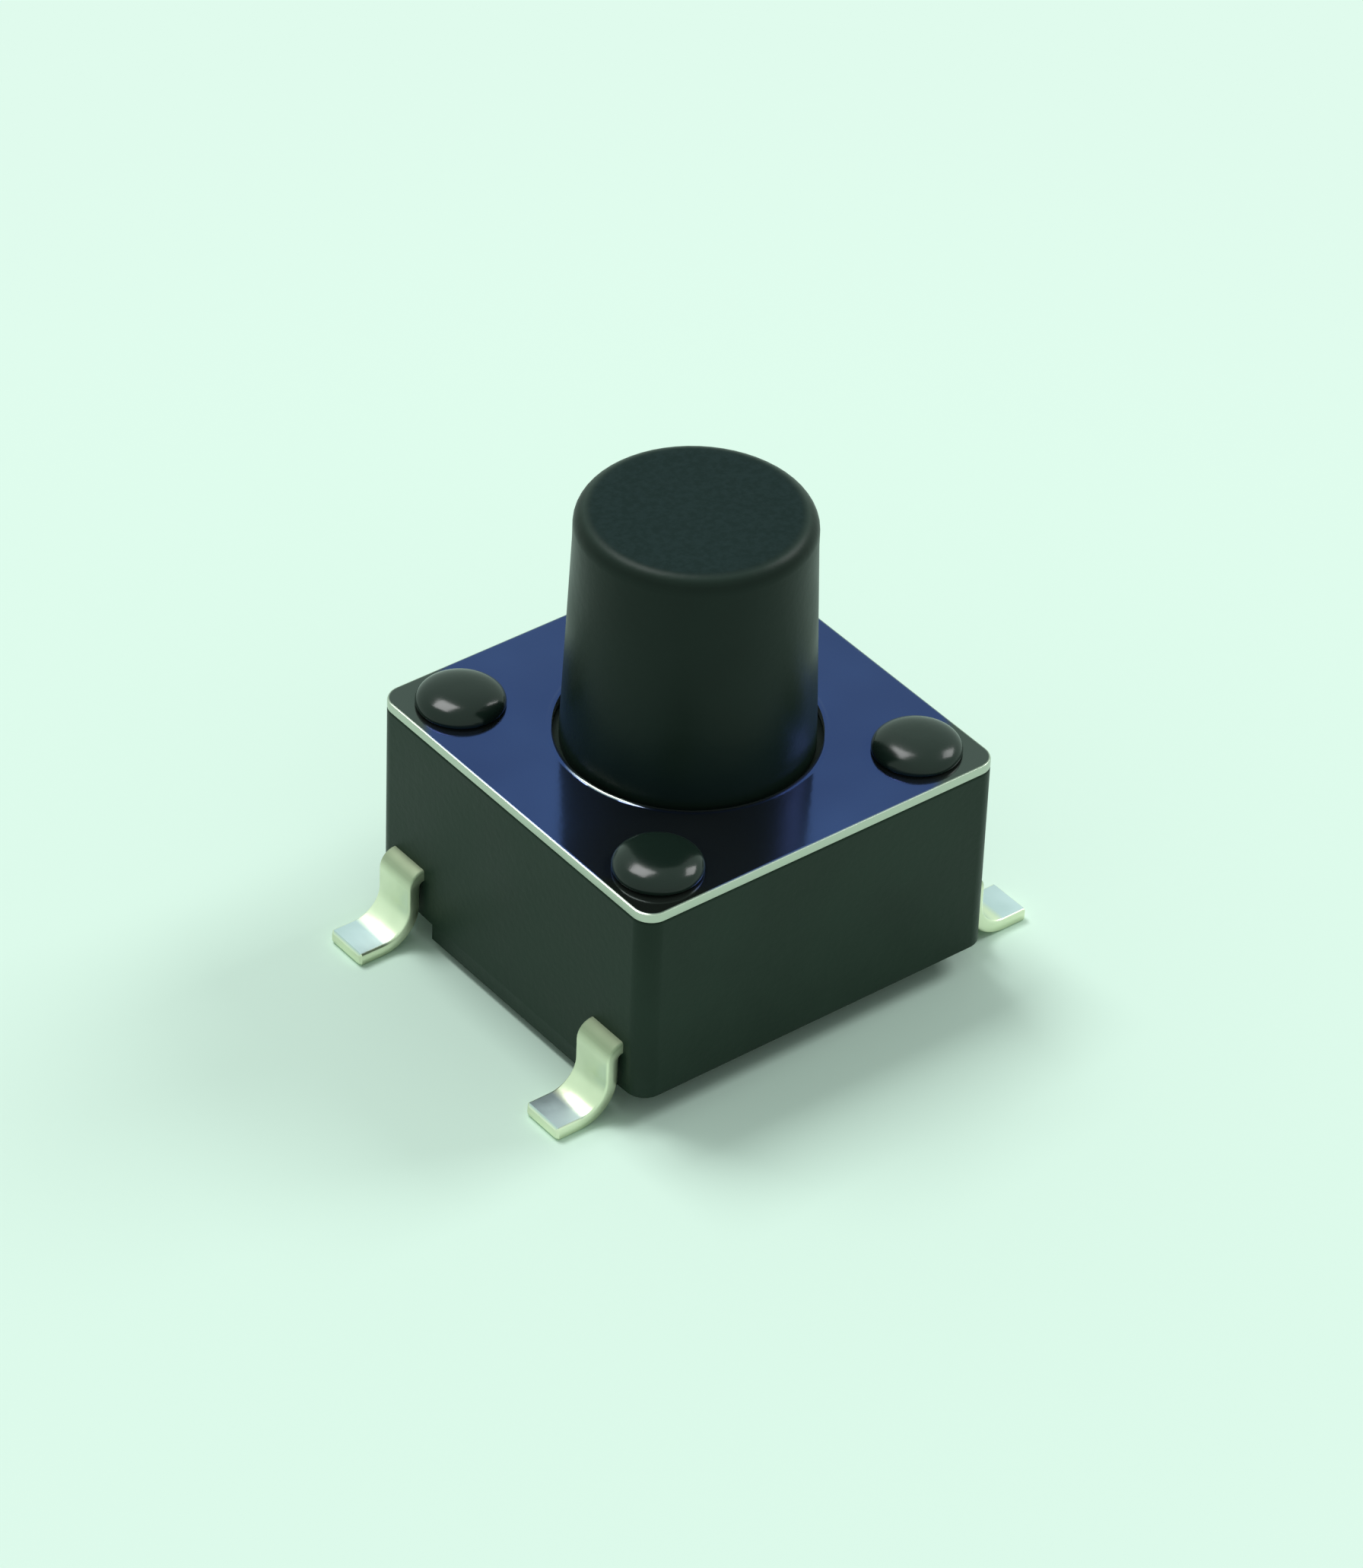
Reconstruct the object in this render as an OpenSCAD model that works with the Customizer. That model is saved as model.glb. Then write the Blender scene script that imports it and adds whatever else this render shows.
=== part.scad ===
// Tactile push button switch for surface mounting, square moulded housing with a round stem.
// Millimetres. The origin is the middle of the switch in the board's plane, +Z points at the button's top,
// and the four leads leave the housing on its -X and +X sides.

/* [Housing] */
// Side of the square moulded housing
body_w = 6.0; // [5.8:0.1:7]
// Radius of the housing's upright corners
corner_r = 0.3; // [0.1:0.05:0.5]
// Height of the housing's flat top above the board
body_top = 3.4; // [3.3:0.1:4]
// Gap between the board and the housing's underside
standoff = 0.1; // [0.05:0.05:0.2]
// Side of the square guide that the stem's skirt slides in
guide_w = 4.3; // [4.1:0.1:4.4]
// Corner radius of that guide
guide_r = 1.2; // [1:0.1:1.4]
// Depth of the round dome seat, from its ledge down to the floor
seat_depth = 0.65; // [0.6:0.05:0.8]
// Width of the solder relief that runs over the leads, along each side without leads
relief_w = 1.3; // [1.2:0.1:1.5]
// Height of the solder relief above the housing's underside
relief_h = 0.28; // [0.1:0.02:0.4]

/* [Cover plate] */
// Thickness of the pressed steel cover plate
plate_t = 0.15; // [0.1:0.05:0.3]

/* [Corner studs] */
// Distance from the housing's side to the middle of a stud
stud_inset = 0.8; // [0.75:0.05:0.9]
// Diameter of the stud where it passes the cover plate
stud_d = 0.7; // [0.6:0.05:0.9]
// Diameter of the staked head
head_d = 1.25; // [1.1:0.05:1.4]
// Height of the staked head above the cover plate
head_h = 0.28; // [0.2:0.02:0.5]
// Height of the upright edge under the head's crown
head_edge = 0.08; // [0.04:0.02:0.12]

/* [Stem] */
// Height of the button's top above the board
stem_top = 7.15; // [5:0.05:9.5]
// Diameter of the stem where it leaves the cover plate
stem_d = 3.5; // [3.2:0.1:3.6]
// Diameter that the tapered stem comes down to at its top
stem_top_d = 3.27; // [3:0.01:3.5]
// Radius of the rounded edge round the button's top
stem_edge_r = 0.25; // [0.1:0.05:0.4]
// Stroke of the button, from rest to the closed contact
travel = 0.25; // [0.2:0.05:0.3]
// Wall of the skirt under the stem
skirt_wall = 0.5; // [0.4:0.05:0.7]
// Thickness of the web that joins skirt, post and button
web_t = 0.5; // [0.4:0.05:0.7]
// Diameter of the post's flat end, which presses the dome
post_end_d = 0.9; // [0.7:0.1:1.2]
// Diameter of the post at its root
post_root_d = 1.5; // [1.3:0.1:1.8]

/* [Snap dome] */
// Diameter of the snap dome
dome_d = 3.9; // [3.7:0.05:3.95]
// Height of the dome's crown above its rim
dome_rise = 0.4; // [0.38:0.01:0.5]
// Thickness of the dome's spring sheet
dome_t = 0.08; // [0.05:0.01:0.1]
// Height of the upright edge round the dome's rim
dome_edge = 0.05; // [0.03:0.01:0.06]

/* [Terminals] */
// Distance between the two leads on one side
lead_pitch = 4.5; // [4.3:0.1:4.6]
// Width of a lead
lead_w = 0.7; // [0.6:0.05:0.8]
// Thickness of the terminal strip
strip_t = 0.2; // [0.15:0.05:0.25]
// Height of the strip's underside above the board
strip_z = 1.0; // [0.9:0.05:1.1]
// Length of a lead out of the housing, measured along the board
lead_reach = 1.07; // [1:0.01:1.4]
// Radius inside the bend down, at the housing's wall
bend_r = 0.06; // [0.04:0.01:0.1]
// Radius inside the bend out, above the foot
foot_r = 0.42; // [0.3:0.02:0.5]
// Width of the terminals' inner arms
arm_w = 0.5; // [0.4:0.05:0.6]
// Diameter of the embossed contact under the dome's middle
centre_contact_d = 0.8; // [0.6:0.1:1]
// Diameter of the embossed contacts under the dome's rim
rim_contact_d = 0.4; // [0.3:0.05:0.5]
// Distance from the dome's edge in to the middle of a rim contact
rim_contact_inset = 0.15; // [0.1:0.01:0.2]
// Height of the rim contacts above the cavity's floor
rim_contact_h = 0.05; // [0.04:0.01:0.1]
// Moulding that covers the strips on the cavity's floor
floor_skin = 0.05; // [0.04:0.01:0.1]

/* [Fits] */
// Gap all round between the stem and the hole in the cover plate
stem_gap = 0.1; // [0.05:0.01:0.15]
// Gap all round between the skirt and its guide
skirt_gap = 0.1; // [0.05:0.01:0.15]
// Play between the skirt's top and the cover plate
skirt_play = 0.02; // [0.01:0.01:0.05]
// Gap all round between a stud and its hole in the cover plate
stud_gap = 0.04; // [0.02:0.01:0.08]
// Play between the post and the dome's crown
post_play = 0.02; // [0.01:0.01:0.03]
// Gap all round between the dome and its seat
dome_gap = 0.1; // [0.06:0.01:0.12]
// Room left under the skirt when the button is pressed
skirt_room = 0.15; // [0.1:0.05:0.3]

/* [Hidden] */
$fn = 96;
// Overlap by which a cutting shape passes the face that it cuts
cut = 0.5;

// Heights above the board, from the leads up
strip_top = strip_z + strip_t;
floor_z = strip_top + floor_skin;
rim_z = floor_z + rim_contact_h;
dome_top = rim_z + dome_rise;
centre_contact_top = dome_top - dome_t - travel;
ledge_z = floor_z + seat_depth;
skirt_z = ledge_z + skirt_room + travel;
skirt_top = body_top - skirt_play;
plate_top = body_top + plate_t;

// Places across the switch
stud_xy = body_w / 2 - stud_inset;
rim_contact_xy = (dome_d / 2 - rim_contact_inset) * cos(45);
lead_y = lead_pitch / 2;
wall_x = body_w / 2;
seat_d = dome_d + 2 * dome_gap;
skirt_w = guide_w - 2 * skirt_gap;
skirt_r = guide_r - skirt_gap;

// Square with rounded corners, centred, made of straight stretches and true arcs
module rounded_square(w, r) {
    square([w, w - 2 * r], center = true);
    square([w - 2 * r, w], center = true);
    for (sx = [-1, 1], sy = [-1, 1])
        translate([sx * (w / 2 - r), sy * (w / 2 - r)]) circle(r = r);
}

// The four corner places of the studs
module at_studs() {
    for (sx = [-1, 1], sy = [-1, 1])
        translate([sx * stud_xy, sy * stud_xy, 0]) children();
}

// Quarter of a bent strip: inside radius r, thickness t, in the quadrant that starts at angle a
module bend_section(r, t, a) {
    rotate(a) intersection() {
        difference() {
            circle(r = r + t);
            circle(r = r);
        }
        square(r + t);
    }
}

// Side view of one lead, X outwards and Y up: straight out of the wall, down, and out into a foot.
// It starts back from the wall by the length given, where it runs into the strip.
module lead_section(back) {
    upright_in = wall_x + bend_r;
    upright_out = upright_in + strip_t;
    top_bend_y = strip_z - bend_r;
    foot_bend_y = strip_t + foot_r;
    foot_start = upright_out + foot_r;
    translate([wall_x - back, strip_z]) square([back, strip_t]);
    translate([wall_x, top_bend_y]) bend_section(bend_r, strip_t, 0);
    translate([upright_in, foot_bend_y]) square([strip_t, top_bend_y - foot_bend_y]);
    translate([foot_start, foot_bend_y]) bend_section(foot_r, strip_t, 180);
    translate([foot_start, 0]) square([wall_x + lead_reach - foot_start, strip_t]);
}

// The two leads of one terminal, at the ends of its strip
module lead_pair(y) {
    for (side = [0, 180])
        rotate(side) translate([0, (side == 0 ? y : -y) + lead_w / 2, 0]) rotate([90, 0, 0])
            linear_extrude(lead_w) lead_section(wall_x / 4);
}

// Terminal with the contact under the dome's middle: strip, one arm and a raised round contact
module centre_terminal_shape() {
    translate([0, 0, strip_z]) linear_extrude(strip_t) {
        translate([-wall_x, lead_y - lead_w / 2]) square([body_w, lead_w]);
        translate([-arm_w / 2, 0]) square([arm_w, lead_y]);
        circle(d = centre_contact_d + arm_w / 2);
    }
    translate([0, 0, strip_z]) cylinder(d = centre_contact_d, h = centre_contact_top - strip_z);
    lead_pair(lead_y);
}

// Terminal with the contacts under the dome's rim: strip, two arms and four raised round contacts
module outer_terminal_shape() {
    translate([0, 0, strip_z]) linear_extrude(strip_t) {
        translate([-wall_x, -lead_y - lead_w / 2]) square([body_w, lead_w]);
        for (sx = [-1, 1])
            translate([sx * rim_contact_xy - arm_w / 2, -lead_y]) square([arm_w, lead_y + rim_contact_xy]);
        for (sx = [-1, 1])
            translate([sx * rim_contact_xy, rim_contact_xy]) circle(d = arm_w);
    }
    for (sx = [-1, 1], sy = [-1, 1])
        translate([sx * rim_contact_xy, sy * rim_contact_xy, strip_z])
            cylinder(d = rim_contact_d, h = rim_z - strip_z);
    lead_pair(-lead_y);
}

// Staked stud: a neck through the cover plate and a crowned head melted over it
module stud() {
    crown_h = head_h - head_edge;
    crown_r = (pow(head_d / 2, 2) + pow(crown_h, 2)) / (2 * crown_h);
    translate([0, 0, body_top - cut]) cylinder(d = stud_d, h = plate_t + 1.5 * cut);
    translate([0, 0, plate_top]) intersection() {
        cylinder(d = head_d, h = head_h);
        translate([0, 0, head_h - crown_r]) sphere(r = crown_r);
    }
}

// Moulded housing: open cavity, dome seat, seats of the terminals, solder reliefs and staked studs
module housing() {
    color("#2a3733") difference() {
        union() {
            translate([0, 0, standoff]) linear_extrude(body_top - standoff) rounded_square(body_w, corner_r);
            at_studs() stud();
        }
        translate([0, 0, ledge_z]) linear_extrude(body_top - ledge_z + cut / 5) rounded_square(guide_w, guide_r);
        translate([0, 0, floor_z]) cylinder(d = seat_d, h = ledge_z - floor_z + cut / 5);
        for (sy = [-1, 1])
            translate([0, sy * wall_x, standoff + relief_h - cut])
                cube([body_w + 2 * cut, 2 * relief_w, 2 * cut], center = true);
        centre_terminal_shape();
        outer_terminal_shape();
    }
}

// Pressed cover plate with a round hole for the stem and one for each stud
module cover_plate() {
    color("#3b4a8c") translate([0, 0, body_top]) difference() {
        linear_extrude(plate_t) rounded_square(body_w, corner_r);
        translate([0, 0, -cut]) cylinder(d = stem_d + 2 * stem_gap, h = plate_t + 2 * cut);
        translate([0, 0, -cut]) at_studs() cylinder(d = stud_d + 2 * stud_gap, h = plate_t + 2 * cut);
    }
}

// Stem: tapered button with a rounded top edge, keyed skirt below the plate and a post on the dome
module stem() {
    taper = atan((stem_d - stem_top_d) / 2 / (stem_top - plate_top));
    edge_z = stem_top - stem_edge_r;
    tangent_z = edge_z + stem_edge_r * sin(taper);
    tangent_x = stem_d / 2 - (tangent_z - plate_top) * tan(taper);
    edge_x = tangent_x - stem_edge_r * cos(taper);
    web_z = skirt_top - web_t;
    post_z = dome_top + post_play;
    color("#26312e") {
        rotate_extrude() {
            polygon([[0, skirt_top - web_t / 2], [stem_d / 2, skirt_top - web_t / 2], [stem_d / 2, plate_top],
                     [tangent_x, tangent_z], [edge_x, edge_z], [edge_x, stem_top], [0, stem_top]]);
            translate([edge_x, edge_z]) circle(r = stem_edge_r);
        }
        difference() {
            translate([0, 0, skirt_z]) linear_extrude(skirt_top - skirt_z) rounded_square(skirt_w, skirt_r);
            translate([0, 0, skirt_z - cut]) linear_extrude(web_z - skirt_z + cut)
                rounded_square(skirt_w - 2 * skirt_wall, skirt_r - skirt_wall);
        }
        translate([0, 0, post_z]) cylinder(d1 = post_end_d, d2 = post_root_d, h = web_z - post_z + web_t / 2);
    }
}

// Snap dome: a shallow cap of spring sheet with a short upright edge
module snap_dome() {
    crown = dome_rise - dome_edge;
    dome_r = (pow(dome_d / 2, 2) + pow(crown, 2)) / (2 * crown);
    color("#b9bfc4") intersection() {
        translate([0, 0, dome_top - dome_r]) difference() {
            sphere(r = dome_r);
            sphere(r = dome_r - dome_t);
        }
        translate([0, 0, rim_z]) cylinder(d = dome_d, h = 2 * dome_rise);
    }
}

module centre_terminal() {
    color("#cfd4cc") centre_terminal_shape();
}

module outer_terminal() {
    color("#cfd4cc") outer_terminal_shape();
}

housing();
cover_plate();
stem();
snap_dome();
centre_terminal();
outer_terminal();
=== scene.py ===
import math

import bmesh
import bpy
import numpy as np
from mathutils import Matrix, Vector


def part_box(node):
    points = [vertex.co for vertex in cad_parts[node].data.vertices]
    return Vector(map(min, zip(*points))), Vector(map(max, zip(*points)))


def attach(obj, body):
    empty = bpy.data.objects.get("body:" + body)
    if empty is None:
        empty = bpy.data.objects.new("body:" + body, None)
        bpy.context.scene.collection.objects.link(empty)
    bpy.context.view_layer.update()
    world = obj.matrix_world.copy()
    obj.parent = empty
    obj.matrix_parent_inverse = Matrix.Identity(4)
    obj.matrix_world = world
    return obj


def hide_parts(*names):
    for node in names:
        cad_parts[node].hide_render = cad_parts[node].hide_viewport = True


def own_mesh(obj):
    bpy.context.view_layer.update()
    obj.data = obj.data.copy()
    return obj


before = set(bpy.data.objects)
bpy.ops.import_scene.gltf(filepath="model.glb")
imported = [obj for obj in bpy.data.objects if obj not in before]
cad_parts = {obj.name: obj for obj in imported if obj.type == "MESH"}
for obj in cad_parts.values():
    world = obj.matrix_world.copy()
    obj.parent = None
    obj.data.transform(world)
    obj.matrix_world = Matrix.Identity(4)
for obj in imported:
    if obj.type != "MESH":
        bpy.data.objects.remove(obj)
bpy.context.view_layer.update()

# Outer sizes and heights of the switch in metres, read from the frame
MM = 0.001
housing_low, housing_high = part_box("housing")
plate_low, plate_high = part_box("cover_plate")
stem_low, stem_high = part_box("stem")
dome_low, dome_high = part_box("snap_dome")
centre_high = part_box("centre_terminal")[1]

BODY_W = plate_high[0] - plate_low[0]
UNDERSIDE = housing_low[2]
BODY_TOP = plate_low[2]
PLATE_TOP = plate_high[2]
HEAD_TOP = housing_high[2]
STEM_TOP = stem_high[2]
SKIRT_W = stem_high[0] - stem_low[0]
RIM_Z = dome_low[2]
DOME_TOP = dome_high[2]
DOME_R = dome_high[0]
TIP_X = centre_high[0]
CENTRE_CONTACT_TOP = centre_high[2]

# Clearances: round the stem, the skirt, the studs and the dome, over the skirt and under the post,
# and the stem's travel with the room left under the skirt at its end
STEM_GAP = 0.1 * MM
SKIRT_GAP = 0.1 * MM
STUD_GAP = 0.04 * MM
DOME_GAP = 0.1 * MM
SKIRT_PLAY = 0.02 * MM
POST_PLAY = 0.02 * MM
TRAVEL = 0.25 * MM
SKIRT_ROOM = 0.15 * MM

# Housing: its corners, the guide, the dome's seat, the floor under it and the solder reliefs
CORNER_R = 0.3 * MM
GUIDE_W = SKIRT_W + 2 * SKIRT_GAP
GUIDE_R = 1.2 * MM
SEAT_R = DOME_R + DOME_GAP
SEAT_DEPTH = 0.65 * MM
RIM_CONTACT_H = 0.05 * MM
FLOOR_Z = RIM_Z - RIM_CONTACT_H
LEDGE_Z = FLOOR_Z + SEAT_DEPTH
RELIEF_W = 1.3 * MM
RELIEF_H = 0.28 * MM
RELIEF_Z = UNDERSIDE + RELIEF_H

# Staked studs: how far in from the sides they stand, and how deep in the housing they start
STUD_INSET = 0.8 * MM
STUD_ROOT = 0.1 * MM
STUD_XY = BODY_W / 2 - STUD_INSET
STUD_R = 0.35 * MM
STUD_HOLE_R = STUD_R + STUD_GAP
HEAD_R = 0.625 * MM

# Stem
STEM_R = 1.75 * MM
STEM_TOP_R = 1.635 * MM
STEM_HOLE_R = STEM_R + STEM_GAP
STEM_EDGE_R = 0.25 * MM
SKIRT_TOP = BODY_TOP - SKIRT_PLAY
SKIRT_R = GUIDE_R - SKIRT_GAP
SKIRT_Z = LEDGE_Z + SKIRT_ROOM + TRAVEL
SKIRT_WALL = 0.5 * MM
WEB_T = 0.5 * MM
WEB_Z = SKIRT_TOP - WEB_T
POST_END_R = 0.45 * MM
POST_ROOT_R = 0.75 * MM
POST_Z = DOME_TOP + POST_PLAY

# Terminals: strip, bends at the housing and the foot, arms, the contact under the dome's middle and
# those under its rim, which lie on a circle
LEAD_Y = 2.25 * MM
LEAD_W = 0.7 * MM
STRIP_T = 0.2 * MM
FLOOR_SKIN = 0.05 * MM
STRIP_Z = FLOOR_Z - FLOOR_SKIN - STRIP_T
BEND_R = 0.06 * MM
FOOT_R = 0.42 * MM
FOOT_X = BODY_W / 2 + BEND_R + STRIP_T + FOOT_R
ARM_W = 0.5 * MM
ARM_T = STRIP_T * 0.96
CENTRE_CONTACT_R = 0.4 * MM
RIM_CONTACT_R = 0.2 * MM
RIM_CIRCLE_R = 1.8 * MM
RIM_CONTACT_XY = RIM_CIRCLE_R * math.cos(math.radians(45))

# Snap dome
DOME_T = 0.08 * MM
DOME_EDGE = 0.05 * MM

# Eased edges, and how far in the middle of such an edge lies, as a share of the ease
EASE = 0.035 * MM
ROUNDED = 0.3

# The lip that punching left round the stem's hole: its width and height, its height away from the
# raised side as a share of that, how strong the painted highlight of bright bare metal is there,
# the direction of that side, how far to either side of it the raised part reaches, and over how
# much of that it fades, in degrees
LIP_W = 0.07 * MM
LIP_H = 0.018 * MM
LIP_LEAST = 0.3
LIP_HIGHLIGHT = 0.75
LIP_SIDE = -165.0
LIP_REACH = 24.0
LIP_FADE = 15.0

# Places of the painted marks: where the painted shade on a lead's top bend begins and over what
# height, and how far in front of a foot's bend the painted reflection on its flat begins to show
BEND_FROM = STRIP_Z - 0.05 * MM
BEND_OVER = 0.15 * MM
FLAT_OVER = 0.1 * MM

# Steps of a corner's quarter turn, points along a straight side of the plate and round a quarter
# of its hole, and shares of the way across a flat face for its points, close together at both
# ends to keep it flat up to its edges
ARC_STEPS = 12
SIDE_POINTS = 16
HOLE_POINTS = 31
SHARES = np.array([0, 0.03, 0.2, 0.4, 0.6, 0.8, 0.97, 1])

# Smallest lengths: what counts as level, a pole's radius, a merged gap and a sliver
LEVEL = 1e-7
POLE_R = 1e-7
MERGE_GAP = 2e-7
SLIVER = 1e-8


# Surfaces

def rounded_corner(width, radius, side_x=None, side_y=None):
    """First quadrant of a square outline with rounded corners: a point on the +X side at side_y,
    the corner's arc from 0 to 90 degrees about (width/2 - radius, width/2 - radius), and a point
    on the +Y side at side_x. A side point that isn't given lies half-way from the axis to the
    arc's centre."""
    angle = np.linspace(0, np.pi / 2, ARC_STEPS + 1)
    centre = width / 2 - radius
    arc = np.column_stack([centre + radius * np.cos(angle), centre + radius * np.sin(angle)])
    start = [width / 2, centre / 2 if side_y is None else side_y]
    end = [centre / 2 if side_x is None else side_x, width / 2]
    return np.vstack([start, arc, end])


def circle_corner(radius):
    """First quadrant of a circle: radius times the cosine and sine of evenly set angles, as many
    as rounded_corner has points."""
    count = ARC_STEPS + 3
    angle = (np.arange(count) + 0.5) / count * np.pi / 2
    return radius * np.column_stack([np.cos(angle), np.sin(angle)])


def all_round(corner):
    """A whole outline from its first quadrant, mirrored in X and Y."""
    flip = corner[::-1]
    return np.vstack([corner, flip * [-1, 1], corner * [-1, -1], flip * [1, -1]])


def ring(corner, height):
    """A closed outline at one height, as points in space."""
    outline = all_round(corner)
    return np.column_stack([outline, np.full(len(outline), height)])


def grid_faces(rows, around, closed=True):
    """Four-sided faces of a grid of points, row after row; a closed grid also joins its last
    column to its first."""
    row, col = np.meshgrid(np.arange(rows - 1), np.arange(around if closed else around - 1),
                           indexing="ij")
    after = (col + 1) % around
    faces = np.stack([row * around + col, row * around + after,
                      (row + 1) * around + after, (row + 1) * around + col], axis=-1)
    return faces.reshape(-1, 4).tolist()


def loft(rings):
    """Closed surface through a stack of outlines with the same number of points: a grid over the
    place along the outline and the place in the stack, with the middle of the first and last
    outline as its two poles."""
    stack = np.array(rings)
    rows, around = stack.shape[:2]
    points = np.vstack([stack.reshape(-1, 3), stack[0].mean(axis=0), stack[-1].mean(axis=0)])
    side = np.arange(around)
    after = (side + 1) % around
    last = (rows - 1) * around
    first_cap = np.column_stack([after, side, np.full(around, rows * around)])
    last_cap = np.column_stack([last + side, last + after, np.full(around, rows * around + 1)])
    return points, grid_faces(rows, around) + first_cap.tolist() + last_cap.tolist()


def sheet(grid, closed):
    """Open surface of a grid of points; a closed one is joined all round."""
    return grid.reshape(-1, 3), grid_faces(*grid.shape[:2], closed)


def stacked(levels):
    """Outlines with their heights as one grid of points."""
    return np.array([np.column_stack([outline, np.full(len(outline), height)])
                     for outline, height in levels])


def arc_steps(centre, radius, start, end, steps=4):
    """Points on an arc in the plane of radius and height: its centre plus radius times the cosine
    and sine of angles from start to end, in degrees."""
    angle = np.radians(np.linspace(start, end, steps + 1))
    return [(centre[0] + radius * math.cos(a), centre[1] + radius * math.sin(a)) for a in angle]


def revolve(profile, place=(0, 0)):
    """Closed surface of revolution: profile gives radius and height from pole to pole, and place
    its axis."""
    rings = [ring(circle_corner(max(radius, POLE_R)), height) for radius, height in profile]
    return loft(np.array(rings) + [*place, 0])


def sweep(path, width, thickness, across, lift):
    """Closed surface of a strip carried along a path in space: at each point of the path the
    section is a rectangle with eased corners, width along the direction across and thickness
    along lift, and it is drawn in by the same ease at both ends."""
    angle = np.linspace(0, np.pi / 2, 4)
    corner = np.column_stack([width / 2 - EASE + EASE * np.cos(angle),
                              thickness / 2 - EASE + EASE * np.sin(angle)])
    section = all_round(corner)
    end_section = section * [1 - 2 * EASE / width, 1 - 2 * EASE / thickness]
    along = np.gradient(path, axis=0)
    along /= np.linalg.norm(along, axis=1)[:, None]
    rows = path[:, None] + section[:, :1] * across + section[:, 1:] * lift[:, None]
    ends = (path[[0, -1], None] + end_section[:, :1] * across
            + end_section[:, 1:] * lift[[0, -1], None])
    rows[0] += along[0] * EASE
    rows[-1] -= along[-1] * EASE
    return loft(np.concatenate([ends[:1], rows, ends[1:]]))


def joined(*parts):
    """Several surfaces as one list of points and faces."""
    points, faces, start = [], [], 0
    for some_points, some_faces in parts:
        points.append(some_points)
        faces += [[i + start for i in face] for face in some_faces]
        start += len(some_points)
    return np.vstack(points), faces


# Making and marking a piece

def into_scene(thing):
    """Puts a new object into the scene."""
    bpy.context.scene.collection.objects.link(thing)
    return thing


def make_piece(name, surface, body, nodes=(), sharp=38):
    """A mesh object from a surface: doubles merged, faces pointing out, smooth but for its sharp
    edges, riding on a body of the switch, and standing for the CAD nodes named."""
    points, faces = surface
    mesh = bpy.data.meshes.new(name)
    mesh.from_pydata(points.tolist(), [], faces)
    bm = bmesh.new()
    bm.from_mesh(mesh)
    bmesh.ops.remove_doubles(bm, verts=bm.verts, dist=MERGE_GAP)
    bmesh.ops.dissolve_degenerate(bm, dist=SLIVER, edges=bm.edges)
    bmesh.ops.recalc_face_normals(bm, faces=bm.faces)
    bm.to_mesh(mesh)
    bm.free()
    mesh.polygons.foreach_set("use_smooth", np.ones(len(mesh.polygons), bool))
    mesh.set_sharp_from_angle(angle=math.radians(sharp))
    piece = into_scene(bpy.data.objects.new(name, mesh))
    weighted = piece.modifiers.new("even_normals", "WEIGHTED_NORMAL")
    weighted.keep_sharp = True
    weighted.mode = "FACE_AREA"
    weighted.weight = 60
    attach(piece, body)
    if nodes:
        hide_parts(*nodes)
    return piece


def paint(piece, name, rule):
    """Writes a value for each point of the piece, worked out by rule from the points, as a named
    attribute between 0 and 1."""
    mesh = piece.data
    points = np.empty(len(mesh.vertices) * 3)
    mesh.vertices.foreach_get("co", points)
    values = np.clip(rule(points.reshape(-1, 3)), 0, 1)
    mesh.attributes.new(name, "FLOAT", "POINT").data.foreach_set("value", values)


def edge_turn(points):
    """How far each point of the stem has turned over its rounded top edge, in degrees: 0 where the
    flat top starts to bend, below 0 in from there, 90 at the edge's lower end, and 180, past all
    marks, for everything below it."""
    across = np.hypot(points[:, 0], points[:, 1]) - (STEM_TOP_R - STEM_EDGE_R)
    down = STEM_TOP - points[:, 2]
    turn = np.degrees(np.arctan2(across, STEM_EDGE_R - down))
    return np.where(down > STEM_EDGE_R, 180, turn)


def top_face(points):
    """1 on the stem's flat top, down to 0 where its edge has turned by so many degrees."""
    gone_at = 30
    return 1 - edge_turn(points) / gone_at


def edge_mark(depth, middle, reach):
    """A mark all round the stem's rounded edge: depth where the edge has turned by middle degrees,
    down to 0 at reach degrees to either side of that."""
    return lambda points: depth * (1 - np.abs(edge_turn(points) - middle) / reach)


def raised_highlit_side(points):
    """1 on the side of the stem's hole where the lip is raised most and carries its painted
    highlight,
    down to 0 away from it: the reach less the angle to that side, over the fade."""
    turn = np.degrees(np.arctan2(points[:, 1], points[:, 0])) - LIP_SIDE
    return np.clip((LIP_REACH - np.abs((turn + 180) % 360 - 180)) / LIP_FADE, 0, 1)


def plate_bare_and_lip_highlight(points):
    """Bare metal on the cover plate's cut edges, and a painted highlight of bright bare metal on
    the lip of the stem's hole, on its raised side."""
    outer = np.abs(points[:, :2]).max(axis=1) > BODY_W / 2 - CORNER_R
    edge = (np.abs(points[:, 2] - PLATE_TOP) > LEVEL) & outer
    return np.where(edge, 1.0, (points[:, 2] > PLATE_TOP + LEVEL) * raised_highlit_side(points) * LIP_HIGHLIGHT)


def painted_bend_shade(points):
    """1 on the top of a lead, where it bends down as it leaves the housing and is painted darker as
    shade, down to 0 on its upright part."""
    return (points[:, 2] - BEND_FROM) / BEND_OVER


def painted_foot_reflection(points):
    """1 on the upper flat of a foot, where a cooler painted reflection lies, and down to 0 up its
    bend. It is 0 where a point lies more than a tenth of the ease below the strip's upper face, as
    on its eased edges."""
    reflection_on_flat = 1 - (FOOT_X - np.abs(points[:, 0])) / FLAT_OVER
    return np.where(points[:, 2] > STRIP_T - EASE / 10, reflection_on_flat, 0)


# Pieces

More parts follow.
